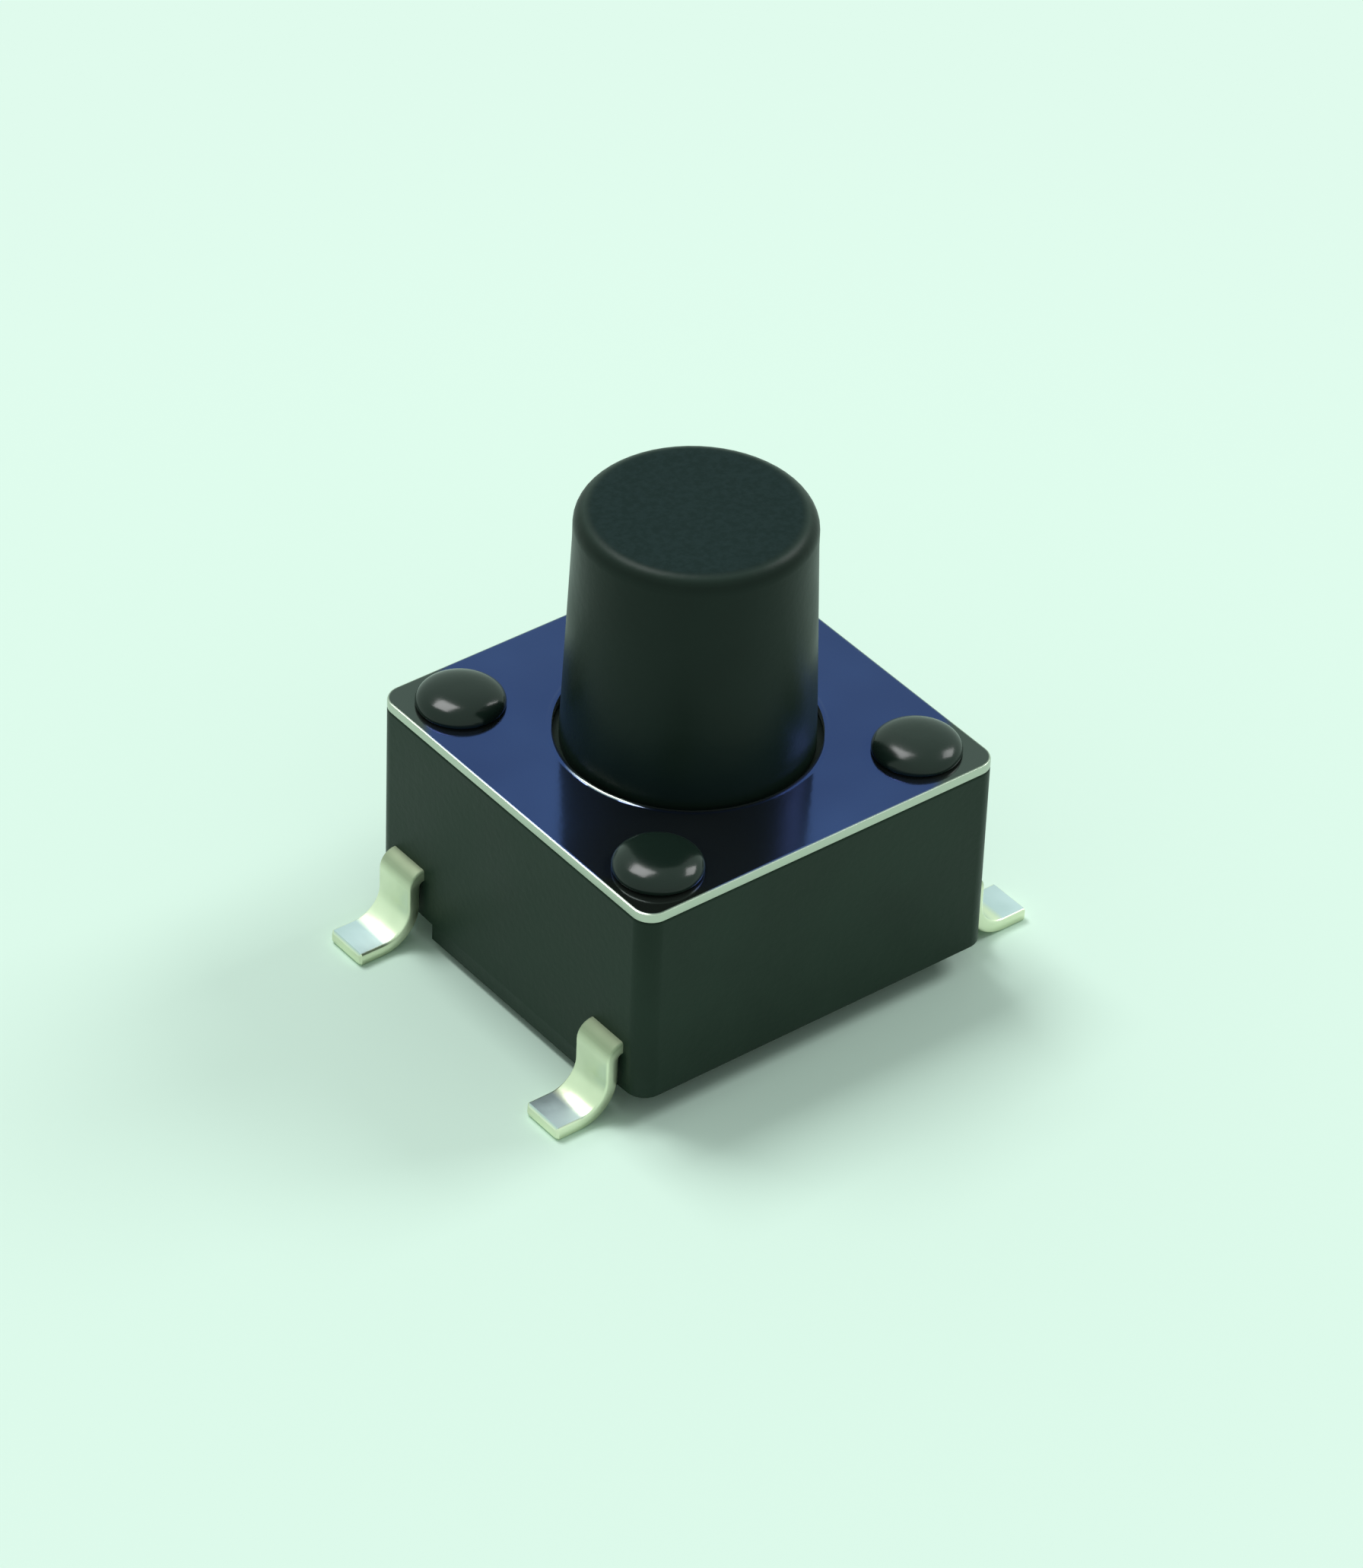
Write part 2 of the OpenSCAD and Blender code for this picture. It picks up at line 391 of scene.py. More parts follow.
def housing_surface():
    """The moulding from the middle of its underside, out and up its sides, over its top and down
    into the cavity: outlines of the middle block between the two solder reliefs, the body, the
    stem's guide, the dome's seat and the floor."""
    half = BODY_W / 2
    sides = {"side_x": half / 2, "side_y": half - RELIEF_W}
    full = rounded_corner(BODY_W, CORNER_R, **sides)
    block = np.minimum(full, [half, half - RELIEF_W])
    eased = rounded_corner(BODY_W - 2 * EASE, CORNER_R - EASE, **sides)
    eased[0] = full[0]
    rings = [ring(block * (1 - EASE / half), UNDERSIDE), ring(block, UNDERSIDE + EASE),
             ring(block, RELIEF_Z), ring(eased, RELIEF_Z), ring(full, RELIEF_Z + EASE)]
    for inset, height in arc_steps((-EASE, BODY_TOP - EASE), EASE, 0, 90):
        corner = rounded_corner(BODY_W + 2 * inset, CORNER_R + inset, **sides)
        rings.append(ring(corner, height))
    for inset, height in arc_steps((EASE, BODY_TOP - EASE), EASE, 90, 180):
        rings.append(ring(rounded_corner(GUIDE_W + 2 * inset, GUIDE_R + inset), height))
    return loft(rings + [ring(rounded_corner(GUIDE_W, GUIDE_R), LEDGE_Z),
                         ring(circle_corner(SEAT_R), LEDGE_Z),
                         ring(circle_corner(SEAT_R), FLOOR_Z)])


def stud_surface(x, y):
    """One staked stud: neck from inside the housing through the plate, then the flared head with
    an upright edge and a crown that is flatter at its top, as melted plastic sets: a quarter of an
    ellipse whose radius and height are raised to powers below 1."""
    crown, root_z = HEAD_TOP - PLATE_TOP, BODY_TOP - STUD_ROOT
    upright_share, radius_power, height_power = 0.16, 0.82, 0.95
    turn = np.linspace(0, np.pi / 2, 14, endpoint=False)
    rise = upright_share + (1 - upright_share) * np.sin(turn) ** height_power
    head = np.column_stack([HEAD_R * np.cos(turn) ** radius_power, PLATE_TOP + crown * rise])
    neck = [(0, root_z), (STUD_R, root_z), (STUD_R, PLATE_TOP),
            (HEAD_R - EASE, PLATE_TOP), (HEAD_R - EASE / 3, PLATE_TOP + EASE / 3),
            (HEAD_R, PLATE_TOP + EASE)]
    return revolve(np.vstack([neck, head, (0, HEAD_TOP)]), (x, y))


def plate_quarter(outer_ease, hole_ease):
    """One quarter of the cover plate from above: its outer edge, set in by outer_ease, from the X
    axis round the corner to the Y axis, and the stem's hole, widened by hole_ease, from the Y axis
    back to the X axis."""
    half = BODY_W / 2 - outer_ease
    radius = CORNER_R - outer_ease
    side = np.linspace(0, half - radius, SIDE_POINTS, endpoint=False)
    edge = np.full(SIDE_POINTS, half)
    angle = np.linspace(0, np.pi / 2, ARC_STEPS + 1)
    corner = half - radius + radius * np.column_stack([np.cos(angle), np.sin(angle)])
    outer = np.vstack([np.column_stack([edge, side]), corner,
                       np.column_stack([side[::-1], edge])])
    turn = np.linspace(np.pi / 2, 0, HOLE_POINTS)
    return outer, (STEM_HOLE_R + hole_ease) * np.column_stack([np.cos(turn), np.sin(turn)])


def plate_face(height, outer_ease, stud_ease, hole_ease):
    """One quarter of a face of the cover plate: a grid between the stud's hole and the quarter's
    whole outline, each point a share of the way from the hole's edge to the outline, along the ray
    from the stud's middle."""
    outer, bore = plate_quarter(outer_ease, hole_ease)
    share = SHARES[1:-1, None]
    loop = np.vstack([outer, outer[-1] * (1 - share) + bore[0] * share, bore,
                      bore[-1] * (1 - share) + outer[0] * share])
    stud = np.array([STUD_XY, STUD_XY])
    ray = loop - stud
    inner = stud + ray / np.linalg.norm(ray, axis=1)[:, None] * (STUD_HOLE_R + stud_ease)
    share = SHARES[:, None, None]
    grid = inner * (1 - share) + loop * share
    return np.concatenate([grid, np.full(grid.shape[:2] + (1,), height)], axis=2)


def plate_surface():
    """The cover plate: four mirrored quarters, each with its two faces, its outer wall with an
    eased edge, the stud's hole, and the stem's hole with the low rounded lip that punching leaves
    round it: half a sine wave across its width, lower away from the raised side."""
    wall = [(BODY_TOP, EASE / 2), (BODY_TOP + EASE / 2, 0), (PLATE_TOP - EASE, 0),
            (PLATE_TOP - ROUNDED * EASE, ROUNDED * EASE), (PLATE_TOP, EASE)]
    hole = wall[:2] + [(BODY_TOP + EASE, 0)]
    hole += [(PLATE_TOP + LIP_H * math.sin(t * math.pi), LIP_W * t) for t in np.linspace(0, 1, 9)]
    bottom = plate_face(BODY_TOP, EASE / 2, EASE / 2, EASE / 2)
    top = plate_face(PLATE_TOP, EASE, EASE, LIP_W)
    outer = stacked([(plate_quarter(ease, 0)[0], height) for height, ease in wall])
    bore = stacked([(plate_quarter(0, ease)[1], height) for height, ease in hole])
    stud = [plate_face(height, EASE, ease, LIP_W)[:1] for height, ease in wall[1:-1]]
    stud = np.concatenate([bottom[:1], *stud, top[:1]])
    parts = []
    for flip in ((1, 1, 1), (-1, 1, 1), (-1, -1, 1), (1, -1, 1)):
        parts += [sheet(grid * flip, True) for grid in (bottom, top, stud)]
        parts += [sheet(grid * flip, False) for grid in (outer, bore)]
    points, faces = joined(*parts)
    rise = points[:, 2] - PLATE_TOP
    lip = PLATE_TOP + rise * (LIP_LEAST + (1 - LIP_LEAST) * raised_highlit_side(points))
    points[:, 2] = np.where(rise > 0, lip, points[:, 2])
    return points, faces


def stem_surface():
    """The stem from the top of the button down its tapered side, out over the skirt, up under the
    web and down the post to its flat end. The top edge is an arc that meets the taper without a
    corner, and the taper comes from the two radii and the height between them."""
    taper = math.atan((STEM_R - STEM_TOP_R) / (STEM_TOP - PLATE_TOP))
    edge_z = STEM_TOP - STEM_EDGE_R
    tangent_z = edge_z + STEM_EDGE_R * math.sin(taper)
    tangent_r = STEM_R - (tangent_z - PLATE_TOP) * math.tan(taper)
    edge = (tangent_r - STEM_EDGE_R * math.cos(taper), edge_z)
    button = [(edge[0] - STEM_EDGE_R / 2, STEM_TOP)]
    button += arc_steps(edge, STEM_EDGE_R, 90, math.degrees(taper), steps=14)
    button += [(tangent_r, tangent_z - STEM_EDGE_R), (STEM_R, PLATE_TOP), (STEM_R, SKIRT_TOP)]
    inner_w, inner_r = SKIRT_W - 2 * SKIRT_WALL, SKIRT_R - SKIRT_WALL
    skirt = [(SKIRT_W + 2 * inset, SKIRT_R + inset, height)
             for inset, height in arc_steps((-EASE, SKIRT_TOP - EASE), EASE, 90, 0, steps=3)]
    skirt += [(SKIRT_W, SKIRT_R, SKIRT_Z + EASE),
              (SKIRT_W - 2 * EASE, SKIRT_R - EASE, SKIRT_Z),
              (inner_w + 2 * EASE, inner_r + EASE, SKIRT_Z),
              (inner_w, inner_r, SKIRT_Z + EASE), (inner_w, inner_r, WEB_Z)]
    post = [(POST_ROOT_R, WEB_Z), (POST_END_R, POST_Z + EASE), (POST_END_R - EASE, POST_Z)]
    return loft([ring(circle_corner(radius), height) for radius, height in button]
                + [ring(rounded_corner(width, radius), height) for width, radius, height in skirt]
                + [ring(circle_corner(radius), height) for radius, height in post])


def bend(centre, radius, start, end, count, face):
    """A bend of the strip in X and Z: its centre plus radius times the cosine and sine of angles
    from start to end, in degrees, with the direction of the strip's upper face at each point, away
    from the centre where face is 1 and towards it where face is -1."""
    angle = np.radians(np.linspace(start, end, count))
    way = np.column_stack([np.cos(angle), np.sin(angle)])
    return np.hstack([centre + radius * way, face * way])


def lead_path():
    """Middle line of a terminal's strip in X and Z, from one foot's tip over the housing to the
    other's, with the direction of the strip's upper face at each point."""
    half_t = STRIP_T / 2
    tip = [TIP_X, half_t, 0, 1]
    foot = bend((FOOT_X, FOOT_R + STRIP_T), FOOT_R + half_t, start=270, end=180, count=17, face=-1)
    top = bend((BODY_W / 2, STRIP_Z - BEND_R), BEND_R + half_t, start=0, end=90, count=9, face=1)
    right = np.vstack([tip, foot, top])
    return np.vstack([right, right[::-1] * [-1, 1, -1, 1]])


def strip_surface(y):
    """A terminal's strip with its two leads: the eased section carried along the middle line at
    that Y."""
    x, z, lift_x, lift_z = lead_path().T
    path = np.column_stack([x, np.full(len(x), y), z])
    lift = np.column_stack([lift_x, np.zeros(len(x)), lift_z])
    return sweep(path, LEAD_W, STRIP_T, (0, 1, 0), lift)


def arm_surface(x, y_from, y_to):
    """A straight arm of the strip along Y, a hair thinner than the strip so that no faces lie in
    one plane."""
    path = np.linspace((x, y_from, STRIP_Z + STRIP_T / 2), (x, y_to, STRIP_Z + STRIP_T / 2), 3)
    return sweep(path, ARM_W, ARM_T, (1, 0, 0), np.tile([0.0, 0.0, 1.0], (3, 1)))


def contact_surface(x, y, radius, top):
    """An embossed contact: a round boss with an eased edge, from the middle of the strip up."""
    root_z = STRIP_Z + STRIP_T / 2
    edge = arc_steps((radius - EASE, top - EASE), EASE, 0, 90)
    return revolve([(0, root_z), (radius, root_z)] + edge + [(0, top)], (x, y))


def dome_surface():
    """The snap dome: a shallow cap of even thickness with a short upright edge. The outside is a
    sphere through the edge and the top, the inside one that is smaller by the thickness: the
    height is the centre's plus the root of the sphere's radius squared less the distance
    squared."""
    crown = DOME_TOP - RIM_Z - DOME_EDGE
    outer_r = (DOME_R ** 2 + crown ** 2) / (2 * crown)
    inner_r = outer_r - DOME_T
    centre = DOME_TOP - outer_r
    out = np.linspace(0, DOME_R, 14)
    back = np.linspace(math.sqrt(inner_r ** 2 - (RIM_Z - centre) ** 2), 0, 14)
    outside = np.column_stack([out, centre + np.sqrt(outer_r ** 2 - out ** 2)])
    inside = np.column_stack([back, centre + np.sqrt(inner_r ** 2 - back ** 2)])
    return revolve(np.vstack([outside, (DOME_R, RIM_Z), inside]))


# Shader nodes

# Places of the colour sockets on a Mix node
MIX_FIRST, MIX_SECOND, MIX_RESULT = 6, 7, 2


def math_node(tree, operation, first, second=None, clamp=False):
    """A Math node fed by sockets or numbers; gives its output."""
    node = tree.nodes.new("ShaderNodeMath")
    node.operation = operation
    node.use_clamp = clamp
    for socket, value in zip(node.inputs, (first, second)):
        if isinstance(value, (int, float)):
            socket.default_value = value
        elif value is not None:
            tree.links.new(value, socket)
    return node.outputs[0]


def noise(tree, place, scale, detail, rough=0.5):
    """A noise texture on that place, its scale a socket or a number; gives its value."""
    node = tree.nodes.new("ShaderNodeTexNoise")
    node.inputs["Detail"].default_value = detail
    node.inputs["Roughness"].default_value = rough
    tree.links.new(place, node.inputs["Vector"])
    if isinstance(scale, float):
        node.inputs["Scale"].default_value = scale
    else:
        tree.links.new(scale, node.inputs["Scale"])
    return node.outputs[0]


def ramp(tree, value, low, high):
    """0 below low, 1 above high and smooth between."""
    node = tree.nodes.new("ShaderNodeMapRange")
    node.interpolation_type = "SMOOTHSTEP"
    node.inputs["From Min"].default_value = low
    node.inputs["From Max"].default_value = high
    tree.links.new(value, node.inputs["Value"])
    return node.outputs["Result"]


def value_between(tree, share, low, high):
    """A number that goes from low to high as share goes from 0 to 1."""
    return math_node(tree, "ADD", math_node(tree, "MULTIPLY", share, high - low), low)


def added(tree, value, share, amount):
    """The value, raised by amount times a share from 0 to 1."""
    return math_node(tree, "ADD", value, math_node(tree, "MULTIPLY", share, amount))


def mix(tree, share, first, second):
    """Mixes two colours, each a socket or an RGB triple, by a socket from 0 to 1."""
    node = tree.nodes.new("ShaderNodeMix")
    node.data_type = "RGBA"
    tree.links.new(share, node.inputs["Factor"])
    for place, value in ((MIX_FIRST, first), (MIX_SECOND, second)):
        if isinstance(value, tuple):
            node.inputs[place].default_value = (*value, 1.0)
        else:
            tree.links.new(value, node.inputs[place])
    return node.outputs[MIX_RESULT]


def bump(tree, height, distance):
    """A Bump node of that height; gives the normal."""
    node = tree.nodes.new("ShaderNodeBump")
    node.inputs["Distance"].default_value = distance
    tree.links.new(height, node.inputs["Height"])
    return node.outputs[0]


def attribute(tree, name):
    """The value painted on the piece under that name."""
    node = tree.nodes.new("ShaderNodeAttribute")
    node.attribute_name = name
    return node.outputs["Fac"]


def linear(red, green, blue):
    """A colour given as it looks on the screen, 0 to 255, as the shader takes it."""
    return tuple(c / 12.92 if c <= 0.04045 else ((c + 0.055) / 1.055) ** 2.4
                 for c in (red / 255, green / 255, blue / 255))


# Shader groups

def new_group(name, inputs, outputs):
    """An empty shader node group on a Place, with number inputs of the given defaults and number
    outputs of the given names."""
    group = bpy.data.node_groups.new(name, "ShaderNodeTree")
    add_socket = group.interface.new_socket
    add_socket(name="Place", in_out="INPUT", socket_type="NodeSocketVector")
    for label, value in inputs.items():
        socket = add_socket(name=label, in_out="INPUT", socket_type="NodeSocketFloat")
        socket.default_value = value
    for label in outputs:
        add_socket(name=label, in_out="OUTPUT", socket_type="NodeSocketFloat")
    given = group.nodes.new("NodeGroupInput").outputs
    return group, given, group.nodes.new("NodeGroupOutput").inputs


def make_grain_group():
    """Fine surface grain: a fine noise, spread from 0.5 to 1.3, as its height, and a broad one as
    a slow mottle."""
    group, given, out = new_group("surface_grain", {"Fine": 9000.0, "Broad": 900.0},
                                  ("Height", "Mottle"))
    fine = noise(group, given["Place"], given["Fine"], detail=3.0)
    broad = noise(group, given["Place"], given["Broad"], detail=2.0)
    group.links.new(value_between(group, fine, 0.5, 1.3), out["Height"])
    group.links.new(ramp(group, broad, 0.3, 0.7), out["Mottle"])
    return group


def make_dust_group():
    """Specks of dust: the small spots of a fine noise that rise above a limit, with soft edges.
    The more dust, the lower the limit."""
    highest_limit, steepness = 0.86, 12.0
    group, given, out = new_group("dust_specks", {"Size": 2600.0, "Amount": 0.1}, ("Mask",))
    specks = noise(group, given["Place"], given["Size"], detail=1.0)
    limit = math_node(group, "SUBTRACT", highest_limit, given["Amount"])
    over = math_node(group, "SUBTRACT", specks, limit)
    group.links.new(math_node(group, "MULTIPLY", over, steepness, clamp=True), out["Mask"])
    return group


GRAIN = make_grain_group()
DUST = make_dust_group()


def use_group(tree, group, place, **values):
    """A group node on that place with its inputs set; gives its outputs."""
    node = tree.nodes.new("ShaderNodeGroup")
    node.node_tree = group
    tree.links.new(place, node.inputs["Place"])
    for label, value in values.items():
        node.inputs[label].default_value = value
    return node.outputs


# Materials

def new_material(name):
    """A material with only its Principled BSDF; gives the material, its tree, the shader's sockets
    and Object coordinates."""
    material = bpy.data.materials.new(name)
    material.use_nodes = True
    tree = material.node_tree
    place = tree.nodes.new("ShaderNodeTexCoord").outputs["Object"]
    return material, tree, tree.nodes["Principled BSDF"].inputs, place


def moulded_plastic(name, base, light, rough, shine, grain, dust):
    """Dark moulded plastic: a mottle between two close shades, a fine eroded grain and a few
    specks of dust. Gives the material, its tree, the shader's sockets, Object coordinates and the
    colour so far, for a piece that adds to it."""
    material, tree, shader, place = new_material(name)
    grains = use_group(tree, GRAIN, place, Fine=grain, Broad=grain / 12)
    specks = use_group(tree, DUST, place, Amount=dust)["Mask"]
    shade = mix(tree, grains["Mottle"], base, light)
    colour = mix(tree, math_node(tree, "MULTIPLY", specks, 0.25), shade, linear(120, 132, 122))
    tree.links.new(colour, shader["Base Color"])
    roughness = value_between(tree, grains["Mottle"], rough - 0.04, rough + 0.05)
    tree.links.new(roughness, shader["Roughness"])
    tree.links.new(bump(tree, grains["Height"], distance=0.004 * MM), shader["Normal"])
    shader["Specular IOR Level"].default_value = shine
    return material, tree, shader, place, colour


def stem_plastic():
    """The stem's plastic: satin on the side, matt and cooler on the sparked top face, with a
    painted highlight, a lighter band, where the top face rolls into its edge and painted shade, a
    darker band, just below."""
    side_shine, top_shine = 0.12, 0.04
    material, tree, shader, place, colour = moulded_plastic(
        "stem_plastic", base=linear(23, 36, 30), light=linear(28, 41, 35), rough=0.38,
        shine=side_shine, grain=7000.0, dust=0.03)
    top = attribute(tree, "top_face")
    spark = ramp(tree, noise(tree, place, 11000.0, detail=2.0, rough=0.6), 0.3, 0.7)
    colour = mix(tree, top, colour, mix(tree, spark, linear(24, 40, 39), linear(30, 46, 46)))
    # Painted highlight: a lighter band round the upper part of the rounded top edge
    colour = mix(tree, attribute(tree, "painted_edge_highlight"), colour, linear(50, 66, 60))
    # Painted shade: a darker band lower on the rounded edge, just below the painted highlight
    colour = mix(tree, attribute(tree, "painted_edge_shade"), colour, linear(12, 22, 17))
    tree.links.new(colour, shader["Base Color"])
    shine = value_between(tree, top, side_shine, top_shine)
    tree.links.new(shine, shader["Specular IOR Level"])
    return material


def cover_steel():
    """Polished cover: its top painted deep blue, a painted reflection of blue surroundings, with a
    faint pale haze over it, bare bright steel on its cut edges, a painted highlight on the lip of
    the stem's hole, and grey in its corners, where X and Y together reach the distances given."""
    grey_from, grey_to = 4.75 * MM, 5.05 * MM
    material, tree, shader, place = new_material("cover_steel")
    grains = use_group(tree, GRAIN, place, Fine=5200.0, Broad=420.0)
    # Painted reflection: the blue base colour stands in for blue surroundings mirrored in the steel
    blue = mix(tree, grains["Mottle"], linear(50, 65, 118), linear(57, 74, 129))
    apart = tree.nodes.new("ShaderNodeSeparateXYZ")
    tree.links.new(place, apart.inputs[0])
    reach = math_node(tree, "ADD", math_node(tree, "ABSOLUTE", apart.outputs[0]),
                      math_node(tree, "ABSOLUTE", apart.outputs[1]))
    # Grey in the corners, where the painted blue reflection stops
    top = mix(tree, ramp(tree, reach, grey_from, grey_to), blue, linear(76, 82, 80))
    bare_and_lip_highlight = attribute(tree, "bare_and_lip_highlight")
    # Bare steel colour: real on the cut edges, a painted highlight on the lip of the stem's hole
    tree.links.new(mix(tree, bare_and_lip_highlight, top, linear(186, 192, 178)), shader["Base Color"])
    rough = value_between(tree, grains["Mottle"], 0.09, 0.14)
    tree.links.new(added(tree, rough, bare_and_lip_highlight, 0.22), shader["Roughness"])
    tree.links.new(bump(tree, grains["Height"], distance=0.0012 * MM), shader["Normal"])
    shader["Metallic"].default_value = 1.0
    shader["Sheen Weight"].default_value = 0.14
    shader["Sheen Tint"].default_value = (0.8, 1.0, 0.85, 1)
    return material


def tin_plating():
    """Tin plating of the leads: warm white metal with slow stains and a fine drawn grain, rougher
    and with painted shade, darker and yellower, where the leads bend at the housing, and a cooler
    painted reflection on the flats of the feet."""
    material, tree, shader, place = new_material("tin_plating")
    grains = use_group(tree, GRAIN, place, Fine=7000.0, Broad=1300.0)
    bend_shade = attribute(tree, "painted_bend_shade")
    reflection_on_flat = attribute(tree, "painted_foot_reflection")
    colour = mix(tree, grains["Mottle"], linear(222, 226, 198), linear(238, 240, 214))
    # Painted shade: darker and yellower on the top bend of each lead
    colour = mix(tree, bend_shade, colour, linear(160, 168, 144))
    # Painted reflection: cooler, bluer on the flats of the feet
    colour = mix(tree, reflection_on_flat, colour, linear(184, 198, 203))
    tree.links.new(colour, shader["Base Color"])
    rough = value_between(tree, grains["Mottle"], 0.28, 0.38)
    rough = added(tree, added(tree, rough, reflection_on_flat, 0.1), bend_shade, 0.35)
    tree.links.new(rough, shader["Roughness"])
    tree.links.new(bump(tree, grains["Height"], distance=0.003 * MM), shader["Normal"])
    shader["Metallic"].default_value = 1.0
    return material


def spring_steel():
    """Rolled spring sheet of the dome: grey steel with a fine lengthwise grain."""
    material, tree, shader, place = new_material("spring_steel")
    stretch = tree.nodes.new("ShaderNodeMapping")
    stretch.inputs["Scale"].default_value = (1, 12, 1)
    tree.links.new(place, stretch.inputs["Vector"])
    grains = use_group(tree, GRAIN, stretch.outputs[0], Fine=3000.0, Broad=900.0)
    colour = mix(tree, grains["Mottle"], linear(176, 180, 182), linear(198, 200, 202))
    tree.links.new(colour, shader["Base Color"])
    tree.links.new(value_between(tree, grains["Height"], 0.2, 0.35), shader["Roughness"])
    shader["Metallic"].default_value = 1.0
    return material


def dress(piece, material):
    """Puts the material on the piece."""
    piece.data.materials.append(material)


# Building the switch

housing_plastic = moulded_plastic(
    "housing_plastic", base=linear(28, 45, 35), light=linear(34, 51, 41), rough=0.42, shine=0.14,
    grain=9000.0, dust=0.03)[0]
stud_plastic = moulded_plastic(
    "stud_plastic", base=linear(20, 34, 28), light=linear(26, 40, 34), rough=0.2, shine=0.3,
    grain=3200.0, dust=0.02)[0]
steel = cover_steel()
tin = tin_plating()
spring = spring_steel()

housing = make_piece("housing_moulding", housing_surface(), "base",
                     ["housing"])
dress(housing, housing_plastic)

four_studs = joined(*[stud_surface(sx * STUD_XY, sy * STUD_XY)
                      for sx in (-1, 1) for sy in (-1, 1)])
studs = make_piece("staked_studs", four_studs, "base")
dress(studs, stud_plastic)

plate = make_piece("cover_sheet", plate_surface(), "base", ["cover_plate"])
# Bare cut edges, and a painted highlight on the lip of the stem's hole
paint(plate, "bare_and_lip_highlight", plate_bare_and_lip_highlight)
dress(plate, steel)

button = make_piece("button_stem", stem_surface(), "button", ["stem"])
paint(button, "top_face", top_face)
# Masks of the painted highlight and the painted shade on the stem's rounded edge
paint(button, "painted_edge_highlight", edge_mark(depth=0.5, middle=26, reach=16))
paint(button, "painted_edge_shade", edge_mark(depth=0.45, middle=58, reach=18))
dress(button, stem_plastic())

centre_surface = joined(
    strip_surface(LEAD_Y), arm_surface(0, LEAD_Y - LEAD_W / 2 + EASE, 0),
    contact_surface(0, 0, CENTRE_CONTACT_R, CENTRE_CONTACT_TOP))
centre_terminal = make_piece("centre_terminal_strip", centre_surface, "base",
                             ["centre_terminal"])

outer_parts = [strip_surface(-LEAD_Y)]
for x in (-RIM_CONTACT_XY, RIM_CONTACT_XY):
    outer_parts += [
        arm_surface(x, -LEAD_Y + LEAD_W / 2 - EASE, RIM_CONTACT_XY + ARM_W / 2),
        contact_surface(x, -RIM_CONTACT_XY, RIM_CONTACT_R, RIM_Z),
        contact_surface(x, RIM_CONTACT_XY, RIM_CONTACT_R, RIM_Z)]
outer_terminal = make_piece("outer_terminal_strip", joined(*outer_parts), "base",
                            ["outer_terminal"])
for terminal in (centre_terminal, outer_terminal):
    dress(terminal, tin)
    # Masks of the painted shade on the top bends and the painted reflection on the feet's flats
    paint(terminal, "painted_bend_shade", painted_bend_shade)
    paint(terminal, "painted_foot_reflection", painted_foot_reflection)

dome = make_piece("contact_dome", dome_surface(), "base", ["snap_dome"], sharp=50)
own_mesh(dome)
dress(dome, spring)


# Floor, light and camera

FLOOR_COLOUR = (*linear(224, 251, 237), 1)


def seen_directly(tree):
    """1 for what the camera sees, also in a reflection or through glass, and 0 for the light that
    falls on things."""
    path = tree.nodes.new("ShaderNodeLightPath").outputs
    seen = math_node(tree, "MAXIMUM", path["Is Camera Ray"], path["Is Glossy Ray"])
    return math_node(tree, "MAXIMUM", seen, path["Is Transmission Ray"])


def show_blend(tree, share, first, second, output):
    """Mixes two shaders by a socket from 0 to 1 and shows the mix on the output node named."""
    blend = tree.nodes.new("ShaderNodeMixShader")
    tree.links.new(share, blend.inputs[0])
    tree.links.new(first.outputs[0], blend.inputs[1])
    tree.links.new(second.outputs[0], blend.inputs[2])
    tree.links.new(blend.outputs[0], tree.nodes[output].inputs["Surface"])


def make_floor():
    """A pale floor: it takes the switch's shadow close by, and past a few widths of the switch it
    shows its own plain colour to the camera and to reflections."""
    size, below = 2.0, 0.002 * MM
    plain_from, plain_to = 9 * MM, 24 * MM
    mesh = bpy.data.meshes.new("floor")
    mesh.from_pydata([(-size, -size, 0), (size, -size, 0), (size, size, 0), (-size, size, 0)], [],
                     [(0, 1, 2, 3)])
    floor = into_scene(bpy.data.objects.new("floor", mesh))
    floor.location = (0, 0, -below)
    material = bpy.data.materials.new("floor")
    material.use_nodes = True
    tree = material.node_tree
    shader = tree.nodes["Principled BSDF"]
    shader.inputs["Base Color"].default_value = FLOOR_COLOUR
    shader.inputs["Roughness"].default_value = 0.9
    shader.inputs["Specular IOR Level"].default_value = 0.0
    plain = tree.nodes.new("ShaderNodeEmission")
    plain.inputs["Color"].default_value = FLOOR_COLOUR
    away = tree.nodes.new("ShaderNodeVectorMath")
    away.operation = "LENGTH"
    place = tree.nodes.new("ShaderNodeTexCoord").outputs["Object"]
    tree.links.new(place, away.inputs[0])
    far = ramp(tree, away.outputs["Value"], plain_from, plain_to)
    share = math_node(tree, "MULTIPLY", seen_directly(tree), far)
    show_blend(tree, share, shader, plain, "Material Output")
    mesh.materials.append(material)


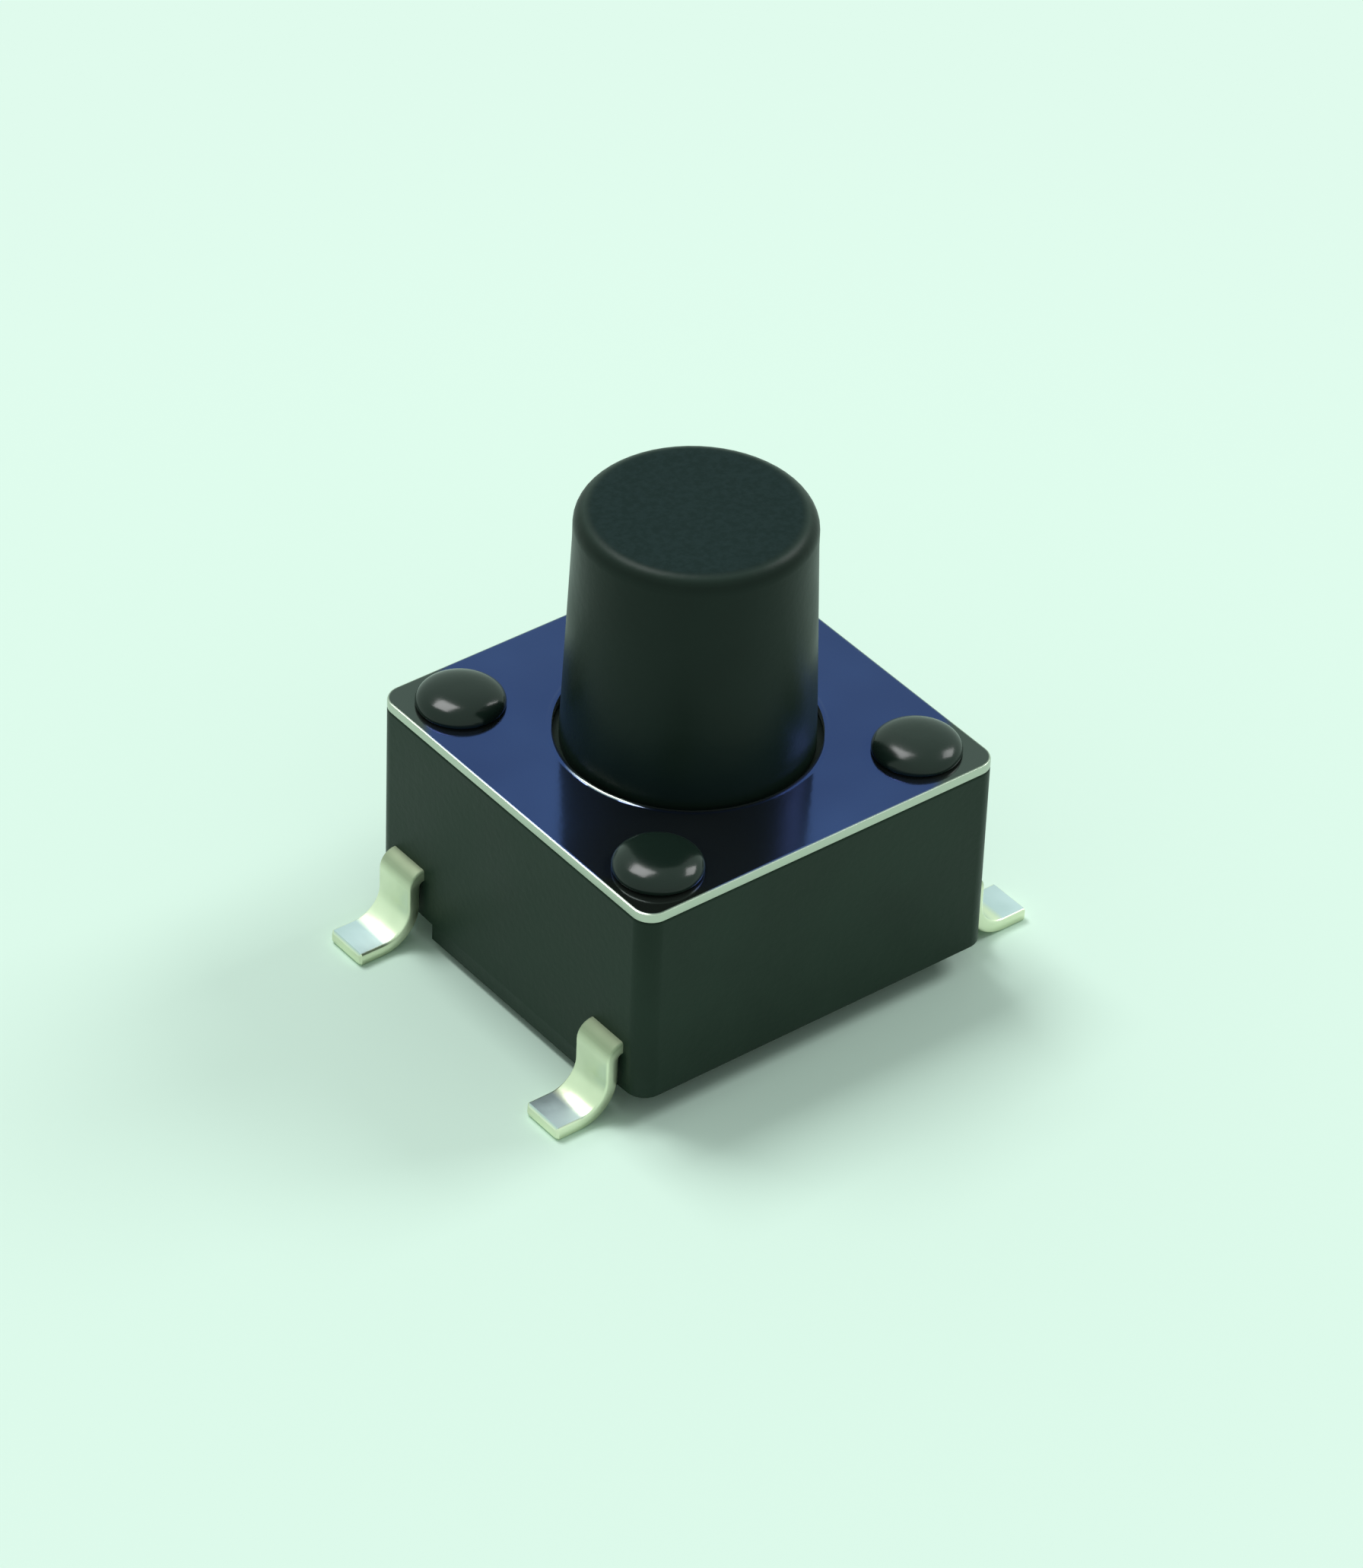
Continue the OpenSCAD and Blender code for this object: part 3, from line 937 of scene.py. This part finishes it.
def make_lamp(name, direction, distance, width, height, irradiance):
    """A soft lamp that faces the switch from that direction, as wide and high as given; irradiance
    1 lights a white surface that faces it as bright as white."""
    lamp = bpy.data.lights.new(name, "AREA")
    lamp.shape = "RECTANGLE"
    lamp.size, lamp.size_y = width, height
    lamp.energy = irradiance * math.pi ** 2 * distance ** 2
    holder = into_scene(bpy.data.objects.new(name, lamp))
    towards = Vector(direction).normalized()
    holder.location = towards * distance
    holder.rotation_euler = towards.to_track_quat("Z", "Y").to_euler()


def make_world():
    """Even pale light from all round, seen as the floor's colour behind the switch."""
    world = bpy.data.worlds.new("studio")
    bpy.context.scene.world = world
    world.use_nodes = True
    tree = world.node_tree
    light = tree.nodes["Background"]
    light.inputs["Color"].default_value = (0.93, 1.0, 0.96, 1)
    light.inputs["Strength"].default_value = 0.36
    plain = tree.nodes.new("ShaderNodeBackground")
    plain.inputs["Color"].default_value = FLOOR_COLOUR
    show_blend(tree, seen_directly(tree), light, plain, "World Output")


def make_camera():
    """The photograph's viewpoint: azimuth, height above the horizon, roll, distance from the
    switch and how far the camera stands aside and above, with the focal length in pixels."""
    azimuth, elevation, roll = math.radians(-39.066), math.radians(37.829), math.radians(2.32)
    distance, aside, above = 99.572 * MM, 0.024 * MM, 2.021 * MM
    focal_px, long_side_px, sensor = 9465.8, 2061, 36.0
    back = Vector((math.sin(azimuth) * math.cos(elevation),
                   -math.cos(azimuth) * math.cos(elevation), math.sin(elevation)))
    level = Vector((math.cos(azimuth), math.sin(azimuth), 0))
    upright = back.cross(level)
    right = level * math.cos(roll) + upright * math.sin(roll)
    up = upright * math.cos(roll) - level * math.sin(roll)
    place = back * distance + right * aside + up * above
    data = bpy.data.cameras.new("camera")
    data.sensor_width = sensor
    data.lens = focal_px * sensor / long_side_px
    data.clip_start, data.clip_end = 1 * MM, 10.0
    camera = into_scene(bpy.data.objects.new("camera", data))
    camera.matrix_world = Matrix((
        (right[0], up[0], back[0], place[0]),
        (right[1], up[1], back[1], place[1]),
        (right[2], up[2], back[2], place[2]),
        (0, 0, 0, 1)))
    bpy.context.scene.camera = camera


make_floor()
make_world()
make_lamp("key", direction=(-0.05, 0.42, 0.9), distance=0.5, width=0.2, height=0.2,
          irradiance=0.53)
make_lamp("side", direction=(0.7, -0.12, 0.64), distance=0.5, width=0.18, height=0.18,
          irradiance=0.3)
make_camera()
bpy.context.scene.view_settings.view_transform = "Standard"
